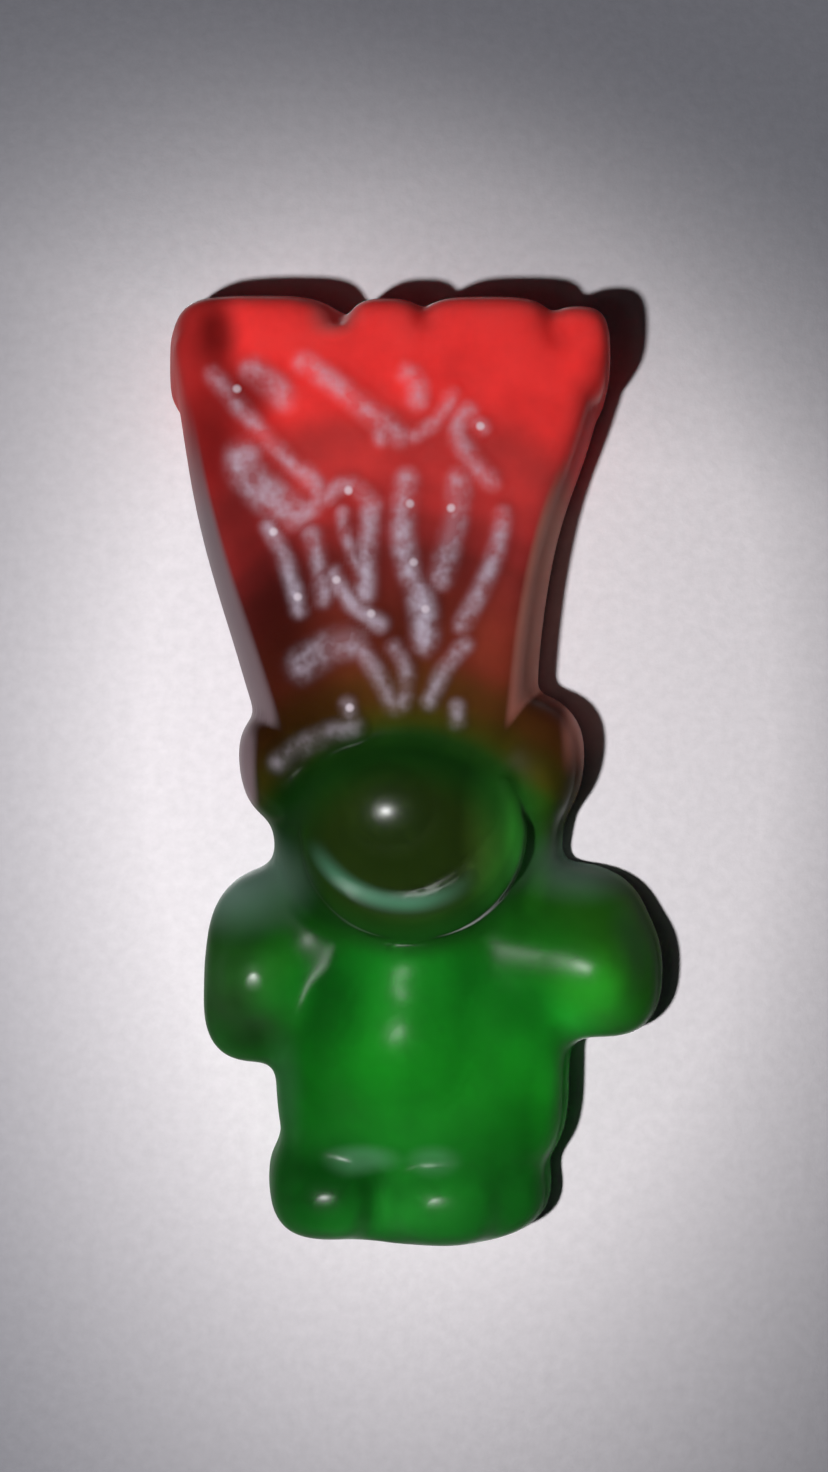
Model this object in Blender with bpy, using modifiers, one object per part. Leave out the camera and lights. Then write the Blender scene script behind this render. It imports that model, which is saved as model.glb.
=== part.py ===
"""A moulded jelly troll: tall flared hair, a round face with a button nose, stub arms, a belly and two short legs.

It lies on its flat back. X runs across the figure, Y from the feet to the hair, and Z out of its front.
The origin is under the middle of the figure, on the flat back.
"""

import math

import bmesh
import bpy
import numpy as np
from mathutils import Vector
from mathutils.bvhtree import BVHTree

MM = 0.001

# The finished size, from the feet to the tips of the hair, in millimetres like every size here
FIGURE_HEIGHT = 49.0

# The hair slab: its depth at the origin and how that grows upwards, the lean of its walls at the tips and how that
# grows downwards, the rise of its middle, and how far it reaches under the flat back before that is cut
HAIR_DEPTH = 7.2
HAIR_RISE = -0.012
HAIR_DRAFT = 1.6
HAIR_FLARE = 0.05
HAIR_CROWN = 0.25
SUNK = 5.0

# How the forms melt together
BODY_VOXEL = 0.30
BODY_SMOOTHING = 22
HAIR_VOXEL = 0.25
HAIR_SMOOTHING = 9
RELIEF_VOXEL = 0.20
RELIEF_SMOOTHING = 5
TRIANGLES_KEPT = 17000

# Hair sections on the flat back: height, left edge, right edge
HAIR_STATIONS = (
    (-1.0, -7.4, 6.4),
    (3.0, -8.9, 6.9),
    (6.0, -9.7, 7.0),
    (9.5, -10.8, 7.4),
    (13.0, -11.7, 8.1),
    (16.0, -12.2, 9.3),
    (19.0, -12.6, 10.1),
    (21.0, -12.95, 10.6),
    (22.3, -13.0, 10.5),
)

# Rounded masses: middle, radii, turn in degrees, squareness of the outline and of the profile (2 is a plain
# ellipsoid), and how much it narrows to the front
HAIR_LOBES = {
    "hair_lobe_left": ((-7.8, 21.2, 0.0), (5.05, 3.15, 7.1), 0, 4.0, 5.5, 0.26),
    "hair_lobe_middle": ((-1.35, 21.0, 0.0), (2.5, 2.9, 7.1), 0, 3.2, 5.0, 0.12),
    "hair_lobe_right": ((3.6, 21.0, 0.0), (3.9, 2.95, 7.1), 0, 4.0, 5.5, 0.12),
    "hair_lobe_end": ((8.15, 20.8, 0.0), (1.95, 2.85, 7.0), 0, 3.2, 5.0, 0.18),
}
BODY_MASSES = {
    "left_ear": ((-5.5, 0.5, 0.0), (3.7, 3.4, 6.3), 8, 2.6, 3.6, 0.15),
    "right_ear": ((5.0, 0.5, 0.0), (3.95, 3.85, 6.4), -8, 2.5, 3.6, 0.15),
    "neck": ((0.7, -2.4, 0.0), (7.2, 4.6, 5.9), 0, 3.0, 3.2, 0.10),
    "face": ((-0.4, -3.1, 0.0), (6.9, 5.9, 8.1), 0, 2.9, 2.7, 0.03),
    "muzzle": ((-0.7, -2.1, 3.6), (5.7, 4.9, 5.3), 0, 2.1, 2.1, 0.0),
    "left_arm": ((-6.2, -9.8, 0.0), (4.7, 4.9, 4.7), 0, 2.5, 3.4, 0.06),
    "left_hand": ((-8.2, -11.9, 0.0), (2.8, 3.3, 4.4), 0, 2.5, 3.4, 0.06),
    "left_knuckles": ((-7.9, -10.5, 0.0), (3.1, 3.7, 5.9), 0, 2.3, 2.3, 0.06),
    "right_arm": ((7.8, -9.4, 0.0), (4.7, 4.6, 4.7), 0, 2.5, 3.4, 0.06),
    "right_hand": ((9.8, -10.3, 0.0), (3.15, 3.6, 4.8), 0, 2.6, 3.4, 0.06),
    "right_knuckles": ((9.2, -10.0, 0.0), (3.2, 3.6, 6.2), 0, 2.3, 2.3, 0.06),
    "chest": ((0.0, -10.0, 0.0), (5.0, 4.2, 6.9), 0, 2.2, 2.2, 0.0),
    "torso": ((0.45, -14.8, 0.0), (7.7, 6.4, 6.2), 0, 4.0, 3.4, 0.05),
    "belly": ((-0.3, -13.3, 0.0), (5.9, 6.4, 7.3), 0, 2.0, 2.0, 0.0),
    "feet": ((-0.2, -21.25, 0.0), (7.5, 3.1, 5.1), -3.0, 2.4, 3.8, 0.06),
    "left_leg": ((-4.2, -21.3, 0.0), (3.4, 2.75, 6.7), 0, 2.8, 2.6, 0.08),
    "right_leg": ((1.5, -21.5, 0.0), (3.9, 2.9, 6.7), 0, 2.6, 2.6, 0.08),
}

# The chin: a soft ridge round the lower face, from one cheek to the other, how much of its thickness stands out,
# and how much it rises towards +X
CHIN_CENTRE = (-0.45, -1.4)
CHIN_RADII = (4.9, 4.9)
CHIN_ARC = (196, 372)
CHIN_THICKNESS = 2.2
CHIN_STANDING = 0.19
CHIN_TILT = 0.03

# The nose: middle, radius of its ball and how far it stands out of the face
NOSE = (-1.0, -1.8, 3.0, 0.32)

# Hollows pressed into the front: middle, half width, half length, turn in degrees, depth
HOLLOWS = {
    "temple_curl": (-9.3, 21.5, 0.8, 1.4, 12, 0.55),
    "far_curl": (7.2, 21.3, 0.9, 0.7, -30, 0.30),
    "first_flute": (-3.2, 22.8, 0.55, 1.5, 0, 0.25),
    "second_flute": (0.4, 22.6, 0.45, 1.3, 0, 0.15),
    "third_flute": (6.9, 22.4, 0.50, 1.3, 0, 0.30),
    "leg_cleft": (-1.9, -22.0, 0.80, 2.4, 0, 0.50),
    "left_wrist": (-7.6, -13.4, 0.9, 1.4, 15, 0.50),
}

# Locks of hair raised on the front: start, middle, end, and the width of the crest
LOCKS = (
    (-9.77, 19.37, -7.48, 16.64, -4.97, 14.07, 0.85),
    (-5.26, 14.64, -4.69, 13.35, -5.69, 12.35, 0.85),
    (-7.84, 19.58, -7.05, 19.01, -6.26, 18.22, 1.15),
    (-5.33, 19.94, -3.25, 18.44, -0.75, 16.43, 1.05),
    (-1.68, 16.79, -1.65, 16.5, -1.61, 16.14, 0.70),
    (-0.24, 19.37, 0.11, 18.94, 0.19, 18.08, 1.00),
    (1.83, 18.36, 1.19, 17.22, 0.04, 16.36, 0.75),
    (2.62, 17.58, 2.26, 16.21, 3.77, 14.21, 0.90),
    (3.05, 16.93, 3.19, 16.86, 3.34, 16.79, 0.75),
    (-8.27, 15.36, -7.69, 14.07, -5.9, 12.78, 1.50),
    (-7.05, 11.92, -6.19, 10.2, -5.57, 7.91, 0.80),
    (-4.18, 13.35, -3.11, 13.99, -2.04, 13.06, 0.80),
    (-2.04, 13.06, -2.25, 11.06, -2.39, 8.62, 0.95),
    (-3.47, 12.63, -3.25, 11.34, -2.75, 10.06, 0.65),
    (-4.97, 11.56, -4.61, 10.2, -4.4, 8.48, 0.85),
    (-3.9, 9.63, -3.11, 8.34, -1.68, 7.19, 0.85),
    (-0.32, 14.21, -0.53, 11.2, 0.4, 8.48, 1.05),
    (0.19, 8.91, 0.47, 7.76, 0.54, 6.33, 1.15),
    (2.19, 14.21, 1.98, 12.2, 1.26, 9.48, 1.05),
    (4.34, 12.49, 3.77, 10.06, 2.33, 7.19, 0.85),
    (2.48, 6.19, 1.55, 5.11, 0.76, 3.47, 0.80),
    (-0.96, 6.04, -0.39, 4.9, -0.6, 3.32, 0.80),
    (-2.46, 5.9, -1.68, 4.61, -0.96, 3.25, 0.85),
    (-5.4, 5.19, -4.4, 5.9, -3.11, 6.33, 1.35),
    (-6.62, 0.46, -4.97, 1.53, -2.97, 2.18, 0.95),
    (-3.21, 3.32, -3.18, 3.11, -3.14, 2.82, 0.75),
    (2.08, 3.18, 2.09, 2.82, 2.12, 2.46, 0.75),
)
LOCK_HEIGHT = 0.30
LOCK_SPREAD = 1.15
LOCK_MELTING = 3

# The arms, each a thick bar under the front: from the chest to the hand, and its radius
ARMS = {
    "left_arm_bar": ((-1.0, -7.3, 1.8), (-10.3, -11.2, 2.3), 3.0),
    "right_arm_bar": ((1.0, -8.6, 2.1), (11.2, -10.2, 3.1), 3.3),
}

# The groove between the hair and the forehead: middle, half width and half length of the oval it follows, width, depth
HAIRLINE = (-0.7, -3.2, 6.7, 5.0, 0.95, 0.18)


def clear_scene():
    for obj in list(bpy.data.objects):
        bpy.data.objects.remove(obj)


def linked(name, data, collection):
    obj = bpy.data.objects.new(name, data)
    collection.objects.link(obj)
    return obj


def mesh_object(name, bm, collection):
    mesh = bpy.data.meshes.new(name)
    bm.to_mesh(mesh)
    bm.free()
    return linked(name, mesh, collection)


def mass(name, centre, radii, turn, squareness, fullness, narrowing, collection):
    """A rounded lump between an ellipsoid and a box, narrowing towards the front."""
    bm = bmesh.new()
    bmesh.ops.create_uvsphere(bm, u_segments=64, v_segments=40, radius=1.0)
    for vert in bm.verts:
        unit = vert.co
        level = (abs(unit.x) ** squareness + abs(unit.y) ** squareness) ** (1 / squareness)
        unit /= (level**fullness + abs(unit.z) ** fullness) ** (1 / fullness)
        slim = 1 - narrowing * max(unit.z, 0)
        vert.co = Vector((unit.x * radii[0] * slim, unit.y * radii[1] * slim, unit.z * radii[2])) * MM
    obj = mesh_object(name, bm, collection)
    obj.location = Vector(centre) * MM
    obj.rotation_euler.z = math.radians(turn)
    return obj


def hair_section(height, left, right):
    """One section across the hair: walls that lean in from the back, and a crowned front."""
    depth = HAIR_DEPTH + HAIR_RISE * height
    draft = HAIR_DRAFT + HAIR_FLARE * (HAIR_STATIONS[-1][0] - height)
    middle = (left + right) / 2
    walls = (
        (-0.05, -SUNK),
        (0.22, 0.35 * depth),
        (0.72, 0.93 * depth),
        (1.20, depth),
    )
    across = [(left + inset * draft, z) for inset, z in walls]
    across.append((middle, depth + HAIR_CROWN))
    across += [(right - inset * draft, z) for inset, z in reversed(walls)]
    return [Vector((x, height, z)) * MM for x, z in across]


def hair_block(collection):
    """The hair as a coarse cage over its sections, rounded by subdivision."""
    bm = bmesh.new()
    rings = [[bm.verts.new(p) for p in hair_section(*station)] for station in HAIR_STATIONS]
    for lower, upper in zip(rings, rings[1:]):
        for i in range(len(lower)):
            bm.faces.new((lower[i - 1], lower[i], upper[i], upper[i - 1]))
    bm.faces.new(rings[0])
    bm.faces.new(rings[-1])
    bmesh.ops.recalc_face_normals(bm, faces=bm.faces)
    obj = mesh_object("hair_block", bm, collection)
    rounding = obj.modifiers.new("rounding", "SUBSURF")
    rounding.levels = rounding.render_levels = 3
    return obj


def tube(name, points, radii, collection):
    """A round cord through the points, its radius given at each, with rounded ends."""
    curve = bpy.data.curves.new(name, "CURVE")
    curve.dimensions = "3D"
    curve.bevel_depth = MM
    curve.bevel_resolution = 3
    curve.use_fill_caps = True
    spline = curve.splines.new("POLY")
    spline.points.add(len(points) - 1)
    for knot, point, radius in zip(spline.points, points, radii):
        knot.co = (*(Vector(point) * MM), 1)
        knot.radius = radius
    return linked(name, curve, collection)


def bar(name, start, end, radius, collection):
    """A thick bar with round ends."""
    count = 24
    way = Vector(end) - Vector(start)
    points = []
    radii = []
    for i in range(count + 1):
        along = 0.5 - 0.5 * math.cos(math.pi * i / count)
        from_end = min(along, 1 - along) * way.length
        points.append(Vector(start) + way * along)
        radii.append(max(0.05, math.sqrt(max(0, 1 - max(0, 1 - from_end / radius) ** 2)) * radius))
    return tube(name, points, radii, collection)


def evaluated_mesh(obj):
    """The object's mesh with its modifiers, in world space."""
    graph = bpy.context.evaluated_depsgraph_get()
    mesh = bpy.data.meshes.new_from_object(obj.evaluated_get(graph))
    mesh.transform(obj.matrix_world)
    return mesh


def fused(name, pieces, voxel, passes, collection):
    """One skin over all the pieces, smoothed so that they melt into each other."""
    bpy.context.view_layer.update()
    bm = bmesh.new()
    for piece in pieces:
        bm.from_mesh(evaluated_mesh(piece))
    obj = mesh_object(name, bm, collection)
    skin = obj.modifiers.new("skin", "REMESH")
    skin.mode = "VOXEL"
    skin.voxel_size = voxel * MM
    melt = obj.modifiers.new("melt", "SMOOTH")
    melt.factor = 0.5
    melt.iterations = passes
    obj.data = evaluated_mesh(obj)
    obj.modifiers.clear()
    for piece in pieces:
        bpy.data.objects.remove(piece)
    return obj


def press_hollows(obj):
    """Push the front in where the hollows are, fading out to nothing round each."""
    for vert in obj.data.vertices:
        x, y, z = (c / MM for c in vert.co)
        if z < 2:
            continue
        for cx, cy, half_width, half_length, turn, depth in HOLLOWS.values():
            ca = math.cos(math.radians(turn))
            sa = math.sin(math.radians(turn))
            u = ((x - cx) * ca + (y - cy) * sa) / half_width
            v = ((y - cy) * ca - (x - cx) * sa) / half_length
            vert.co.z -= depth * math.exp(-(u * u + v * v)) * min((z - 2) / 2, 1) * MM


def press_hairline(obj):
    """A groove round the top of the face, where the hair starts."""
    cx, cy, half_width, half_length, width, depth = HAIRLINE
    for vert in obj.data.vertices:
        x, y, z = (c / MM for c in vert.co)
        if z < 4 or y < cy:
            continue
        out = math.hypot((x - cx) / half_width, (y - cy) / half_length)
        away = (out - 1) * min(half_width, half_length) / width
        fade = min((y - cy) / 2, 1) * min((z - 4) / 2, 1)
        vert.co.z -= depth * math.exp(-away * away) * fade * MM


def front_of(obj):
    """A function that gives the height of the object's front over a point."""
    bm = bmesh.new()
    bm.from_mesh(obj.data)
    tree = BVHTree.FromBMesh(bm)
    bm.free()

    def height(x, y):
        hit = tree.ray_cast(Vector((x, y, 30)) * MM, Vector((0, 0, -1)))[0]
        return hit.z / MM

    return height


def chin_ridge(height, collection):
    start, end = CHIN_ARC
    count = 36
    points = []
    radii = []
    for i in range(count + 1):
        along = i / count
        angle = math.radians(start + (end - start) * along)
        x = CHIN_CENTRE[0] + CHIN_RADII[0] * math.cos(angle)
        y = CHIN_CENTRE[1] + CHIN_RADII[1] * math.sin(angle)
        radius = CHIN_THICKNESS * max(0.1, math.sin(math.pi * along)) ** 0.6
        lean = CHIN_TILT * (x - CHIN_CENTRE[0])
        points.append((x, y, height(x, y) + lean - radius * (1 - CHIN_STANDING)))
        radii.append(radius)
    return tube("chin_ridge", points, radii, collection)


def nose(height, collection):
    x, y, radius, standing = NOSE
    z = height(x, y) + standing - radius
    return mass("nose", (x, y, z), (radius * 1.15, radius, radius), 0, 2, 2, 0, collection)


def smooth_step(share):
    share = np.clip(share, 0, 1)
    return share * share * (3 - 2 * share)


def distance_to_lock(spots, sizes):
    """How far each spot is from the curve that runs through the lock's three points."""
    start, middle, end = (np.array(sizes[i : i + 2]) for i in (0, 2, 4))
    bend = 2 * middle - (start + end) / 2
    along = np.linspace(0, 1, 13)[:, None]
    curve = start * (1 - along) ** 2 + bend * 2 * along * (1 - along) + end * along**2
    nearest = np.full(len(spots), np.inf)
    for a, b in zip(curve, curve[1:]):
        run = b - a
        share = np.clip((spots - a) @ run / (run @ run), 0, 1)[:, None]
        nearest = np.minimum(nearest, np.linalg.norm(spots - a - share * run, axis=1))
    return nearest


def raise_locks(obj):
    """Lift the front into rounded locks that meet in narrow valleys."""
    count = len(obj.data.vertices)
    places = np.empty(count * 3)
    obj.data.vertices.foreach_get("co", places)
    places = places.reshape(-1, 3)
    facing = np.empty(count * 3)
    obj.data.vertices.foreach_get("normal", facing)
    facing = np.clip(facing.reshape(-1, 3)[:, 2] / 0.7, 0, 1)
    spots = places[:, :2] / MM
    lift = np.zeros(count)
    for sizes in LOCKS:
        width = sizes[6]
        across = distance_to_lock(spots, sizes) / (width * LOCK_SPREAD)
        lift = np.maximum(lift, LOCK_HEIGHT * math.sqrt(width) * smooth_step(1 - across))
    places[:, 2] += lift * facing * MM
    obj.data.vertices.foreach_set("co", places.ravel())
    melt = obj.modifiers.new("melt", "SMOOTH")
    melt.factor = 0.5
    melt.iterations = LOCK_MELTING
    obj.data = evaluated_mesh(obj)
    obj.modifiers.clear()


def thin_out(obj):
    """Fewer triangles, kept where the form turns."""
    obj.data.calc_loop_triangles()
    fewer = obj.modifiers.new("fewer", "DECIMATE")
    fewer.ratio = TRIANGLES_KEPT / len(obj.data.loop_triangles)
    fewer.use_collapse_triangulate = True
    obj.data = evaluated_mesh(obj)
    obj.modifiers.clear()


def cut_back_flat(obj):
    bm = bmesh.new()
    bm.from_mesh(obj.data)
    everything = bm.verts[:] + bm.edges[:] + bm.faces[:]
    cut = bmesh.ops.bisect_plane(
        bm,
        geom=everything,
        dist=1e-7,
        plane_co=(0, 0, 0),
        plane_no=(0, 0, 1),
        clear_inner=True,
    )
    rim = [e for e in cut["geom_cut"] if isinstance(e, bmesh.types.BMEdge)]
    bmesh.ops.holes_fill(bm, edges=rim, sides=0)
    bmesh.ops.triangulate(bm, faces=[f for f in bm.faces if len(f.verts) > 3])
    bmesh.ops.recalc_face_normals(bm, faces=bm.faces)
    bm.to_mesh(obj.data)
    bm.free()


def bring_to_size(obj):
    """Scale to the stated height, and put the origin under the middle of the figure."""
    places = [v.co.copy() for v in obj.data.vertices]
    low = Vector([min(p[i] for p in places) for i in range(2)])
    high = Vector([max(p[i] for p in places) for i in range(2)])
    scale = FIGURE_HEIGHT * MM / (high.y - low.y)
    middle = (low + high) / 2
    for vert in obj.data.vertices:
        vert.co.x = (vert.co.x - middle.x) * scale
        vert.co.y = (vert.co.y - middle.y) * scale
        vert.co.z *= scale


def jelly():
    """Clear jelly, green below and red above."""
    material = bpy.data.materials.new("two_tone_gel")
    material.use_nodes = True
    nodes = material.node_tree.nodes
    links = material.node_tree.links
    shader = nodes["Principled BSDF"]
    shader.inputs["Roughness"].default_value = 0.22
    place = nodes.new("ShaderNodeTexCoord")
    split = nodes.new("ShaderNodeSeparateXYZ")
    spread = nodes.new("ShaderNodeMapRange")
    spread.inputs["From Min"].default_value = -8 * MM
    spread.inputs["From Max"].default_value = 14 * MM
    ramp = nodes.new("ShaderNodeValToRGB")
    ramp.color_ramp.elements[0].color = (0.01, 0.17, 0.015, 1)
    ramp.color_ramp.elements[1].color = (0.52, 0.025, 0.022, 1)
    middle = ramp.color_ramp.elements.new(0.5)
    middle.color = (0.045, 0.02, 0.01, 1)
    links.new(place.outputs["Object"], split.inputs[0])
    links.new(split.outputs["Y"], spread.inputs["Value"])
    links.new(spread.outputs["Result"], ramp.inputs["Fac"])
    links.new(ramp.outputs["Color"], shader.inputs["Base Color"])
    return material


def main():
    clear_scene()
    work = bpy.data.collections.new("troll_gummy")
    bpy.context.scene.collection.children.link(work)
    for name, sizes in ARMS.items():
        bar(name, *sizes, work)
    for name, sizes in BODY_MASSES.items():
        mass(name, *sizes, work)
    fused("body", list(work.objects), BODY_VOXEL, BODY_SMOOTHING, work)
    hair_block(work)
    for name, sizes in HAIR_LOBES.items():
        mass(name, *sizes, work)
    form = fused("form", list(work.objects), HAIR_VOXEL, HAIR_SMOOTHING, work)
    press_hollows(form)
    press_hairline(form)
    height = front_of(form)
    chin_ridge(height, work)
    nose(height, work)
    troll = fused("troll_gummy", list(work.objects), RELIEF_VOXEL, RELIEF_SMOOTHING, work)
    raise_locks(troll)
    thin_out(troll)
    cut_back_flat(troll)
    bring_to_size(troll)
    troll.data.materials.clear()
    troll.data.materials.append(jelly())


main()
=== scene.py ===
"""The finished look of a moulded jelly troll that lies on its flat back on a pale sheet of paper.

The jelly follows the sizes of its solid, with a finer skin, and has two gels that run into each other: red in the
hair and green in the body. Lengths are millimetres in the frame of the solid, until the last step makes them metres.
"""

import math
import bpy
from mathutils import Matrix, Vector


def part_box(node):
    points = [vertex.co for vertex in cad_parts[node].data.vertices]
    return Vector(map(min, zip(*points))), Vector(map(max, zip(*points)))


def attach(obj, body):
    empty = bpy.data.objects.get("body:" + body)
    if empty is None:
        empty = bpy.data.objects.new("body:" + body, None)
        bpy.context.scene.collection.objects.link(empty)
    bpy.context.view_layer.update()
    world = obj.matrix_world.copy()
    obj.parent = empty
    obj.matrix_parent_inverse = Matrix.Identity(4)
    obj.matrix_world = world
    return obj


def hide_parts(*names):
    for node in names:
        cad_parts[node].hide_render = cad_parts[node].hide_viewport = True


bl_info = {
    "name": "Jelly troll",
    "version": (1, 0, 0),
    "blender": (4, 5, 0),
    "location": "3D View > Sidebar > Jelly troll",
    "description": "Builds a two-tone moulded jelly troll and the paper and lights round it",
    "category": "Add Mesh",
}

import bmesh
import bpy
import numpy as np
from mathutils import Vector
from mathutils.bvhtree import BVHTree

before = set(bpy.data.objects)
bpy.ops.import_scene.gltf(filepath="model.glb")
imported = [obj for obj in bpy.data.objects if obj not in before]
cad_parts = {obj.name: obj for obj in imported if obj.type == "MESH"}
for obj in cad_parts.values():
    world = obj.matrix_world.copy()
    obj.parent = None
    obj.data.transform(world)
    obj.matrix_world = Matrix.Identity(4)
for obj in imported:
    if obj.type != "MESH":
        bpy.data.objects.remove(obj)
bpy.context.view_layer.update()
SOLID_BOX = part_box("troll_gummy")

MM = 0.001

# The hair slab: how far it reaches under the flat back before that is cut
SUNK = 5.0

# How the forms melt together
BODY_VOXEL = 0.30
BODY_SMOOTHING = 22
HAIR_VOXEL = 0.25
HAIR_SMOOTHING = 9
RELIEF_VOXEL = 0.155
RELIEF_SMOOTHING = 5
LOCK_MELTING = 4

# Hair sections on the flat back: height, left edge, right edge
HAIR_STATIONS = (
    (-1.0, -7.4, 6.4),
    (3.0, -8.9, 6.9),
    (6.0, -9.7, 7.0),
    (9.5, -10.8, 7.4),
    (13.0, -11.7, 8.1),
    (16.0, -12.2, 9.3),
    (19.0, -12.6, 10.1),
    (21.0, -12.95, 10.6),
    (22.3, -13.0, 10.5),
)

# Rounded masses: middle, radii, turn in degrees, squareness of the outline and of the profile (2 is a plain
# ellipsoid), and how much it narrows to the front
HAIR_LOBES = {
    "hair_lobe_left": ((-7.8, 21.2, 0.0), (5.05, 3.15, 7.1), 0, 4.0, 5.5, 0.26),
    "hair_lobe_middle": ((-1.35, 21.0, 0.0), (2.5, 2.9, 7.1), 0, 3.2, 5.0, 0.12),
    "hair_lobe_right": ((3.6, 21.0, 0.0), (3.9, 2.95, 7.1), 0, 4.0, 5.5, 0.12),
    "hair_lobe_end": ((8.15, 20.8, 0.0), (1.95, 2.85, 7.0), 0, 3.2, 5.0, 0.18),
}
BODY_MASSES = {
    "left_ear": ((-5.5, 0.5, 0.0), (3.7, 3.4, 6.3), 8, 2.6, 3.6, 0.15),
    "right_ear": ((5.0, 0.5, 0.0), (3.95, 3.85, 6.4), -8, 2.5, 3.6, 0.15),
    "neck": ((0.7, -2.4, 0.0), (7.2, 4.6, 5.9), 0, 3.0, 3.2, 0.10),
    "face": ((-0.4, -3.1, 0.0), (6.9, 5.9, 8.1), 0, 2.9, 2.7, 0.03),
    "muzzle": ((-0.7, -2.1, 3.6), (5.7, 4.9, 5.3), 0, 2.1, 2.1, 0.0),
    "left_arm": ((-6.2, -9.8, 0.0), (4.7, 4.9, 4.7), 0, 2.5, 3.4, 0.06),
    "left_hand": ((-8.2, -11.9, 0.0), (2.8, 3.3, 4.4), 0, 2.5, 3.4, 0.06),
    "left_knuckles": ((-7.9, -10.5, 0.0), (3.1, 3.7, 5.9), 0, 2.3, 2.3, 0.06),
    "right_arm": ((7.8, -9.4, 0.0), (4.7, 4.6, 4.7), 0, 2.5, 3.4, 0.06),
    "right_hand": ((9.8, -10.3, 0.0), (3.15, 3.6, 4.8), 0, 2.6, 3.4, 0.06),
    "right_knuckles": ((9.2, -10.0, 0.0), (3.2, 3.6, 6.2), 0, 2.3, 2.3, 0.06),
    "chest": ((0.0, -10.0, 0.0), (5.0, 4.2, 6.9), 0, 2.2, 2.2, 0.0),
    "torso": ((0.45, -14.8, 0.0), (7.7, 6.4, 6.2), 0, 4.0, 3.4, 0.05),
    "belly": ((-0.3, -13.3, 0.0), (5.9, 6.4, 7.3), 0, 2.0, 2.0, 0.0),
    "feet": ((-0.2, -21.25, 0.0), (7.5, 3.1, 5.1), -3.0, 2.4, 3.8, 0.06),
    "left_leg": ((-4.2, -21.3, 0.0), (3.4, 2.75, 6.7), 0, 2.8, 2.6, 0.08),
    "right_leg": ((1.5, -21.5, 0.0), (3.9, 2.9, 6.7), 0, 2.6, 2.6, 0.08),
}

# The arms, each a thick bar under the front: from the chest to the hand, and its radius
ARMS = {
    "left_arm_bar": ((-1.0, -7.3, 1.8), (-10.3, -11.2, 2.3), 3.0),
    "right_arm_bar": ((1.0, -8.6, 2.1), (11.2, -10.2, 3.1), 3.3),
}

# The chin: a soft ridge round the lower face, from one cheek to the other, how much of its thickness stands out,
# and how much it rises for each millimetre to the right
CHIN_CENTRE = (-0.45, -1.4)
CHIN_RADII = (4.9, 4.9)
CHIN_ARC = (196, 372)
CHIN_THICKNESS = 2.2
CHIN_STANDING = 0.19
CHIN_TILT = 0.03

# The nose: middle, radius of its ball and how far it stands out of the face
NOSE = (-1.0, -1.8, 3.0, 0.32)

# Hollows pressed into the front: middle, half width, half length, turn in degrees, depth
HOLLOWS = {
    "temple_curl": (-9.3, 21.5, 0.8, 1.4, 12, 0.55),
    "far_curl": (7.2, 21.3, 0.9, 0.7, -30, 0.30),
    "first_flute": (-3.2, 22.8, 0.55, 1.5, 0, 0.25),
    "second_flute": (0.4, 22.6, 0.45, 1.3, 0, 0.15),
    "third_flute": (6.9, 22.4, 0.50, 1.3, 0, 0.30),
    "leg_cleft": (-1.9, -22.0, 0.80, 2.4, 0, 0.50),
    "left_wrist": (-7.6, -13.4, 0.9, 1.4, 15, 0.50),
}

# The groove between the hair and the forehead: middle, half width and half length of the oval it follows, its width
# and its depth
HAIRLINE = (-0.7, -3.2, 6.7, 5.0, 0.95, 0.18)

# Locks of hair raised on the front: start, middle, end, and the width of the crest
LOCKS = (
    (-9.77, 19.37, -7.48, 16.64, -4.97, 14.07, 0.85),
    (-5.26, 14.64, -4.69, 13.35, -5.69, 12.35, 0.85),
    (-7.84, 19.58, -7.05, 19.01, -6.26, 18.22, 1.15),
    (-5.33, 19.94, -3.25, 18.44, -0.75, 16.43, 1.05),
    (-1.68, 16.79, -1.65, 16.5, -1.61, 16.14, 0.70),
    (-0.24, 19.37, 0.11, 18.94, 0.19, 18.08, 1.00),
    (1.83, 18.36, 1.19, 17.22, 0.04, 16.36, 0.75),
    (2.62, 17.58, 2.26, 16.21, 3.77, 14.21, 0.90),
    (3.05, 16.93, 3.19, 16.86, 3.34, 16.79, 0.75),
    (-8.27, 15.36, -7.69, 14.07, -5.9, 12.78, 1.50),
    (-7.05, 11.92, -6.19, 10.2, -5.57, 7.91, 0.80),
    (-4.18, 13.35, -3.11, 13.99, -2.04, 13.06, 0.80),
    (-2.04, 13.06, -2.25, 11.06, -2.39, 8.62, 0.95),
    (-3.47, 12.63, -3.25, 11.34, -2.75, 10.06, 0.65),
    (-4.97, 11.56, -4.61, 10.2, -4.4, 8.48, 0.85),
    (-3.9, 9.63, -3.11, 8.34, -1.68, 7.19, 0.85),
    (-0.32, 14.21, -0.53, 11.2, 0.4, 8.48, 1.05),
    (0.19, 8.91, 0.47, 7.76, 0.54, 6.33, 1.15),
    (2.19, 14.21, 1.98, 12.2, 1.26, 9.48, 1.05),
    (4.34, 12.49, 3.77, 10.06, 2.33, 7.19, 0.85),
    (2.48, 6.19, 1.55, 5.11, 0.76, 3.47, 0.80),
    (-0.96, 6.04, -0.39, 4.9, -0.6, 3.32, 0.80),
    (-2.46, 5.9, -1.68, 4.61, -0.96, 3.25, 0.85),
    (-5.4, 5.19, -4.4, 5.9, -3.11, 6.33, 1.35),
    (-6.62, 0.46, -4.97, 1.53, -2.97, 2.18, 0.95),
    (-3.21, 3.32, -3.18, 3.11, -3.14, 2.82, 0.75),
    (2.08, 3.18, 2.09, 2.82, 2.12, 2.46, 0.75),
)

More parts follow.
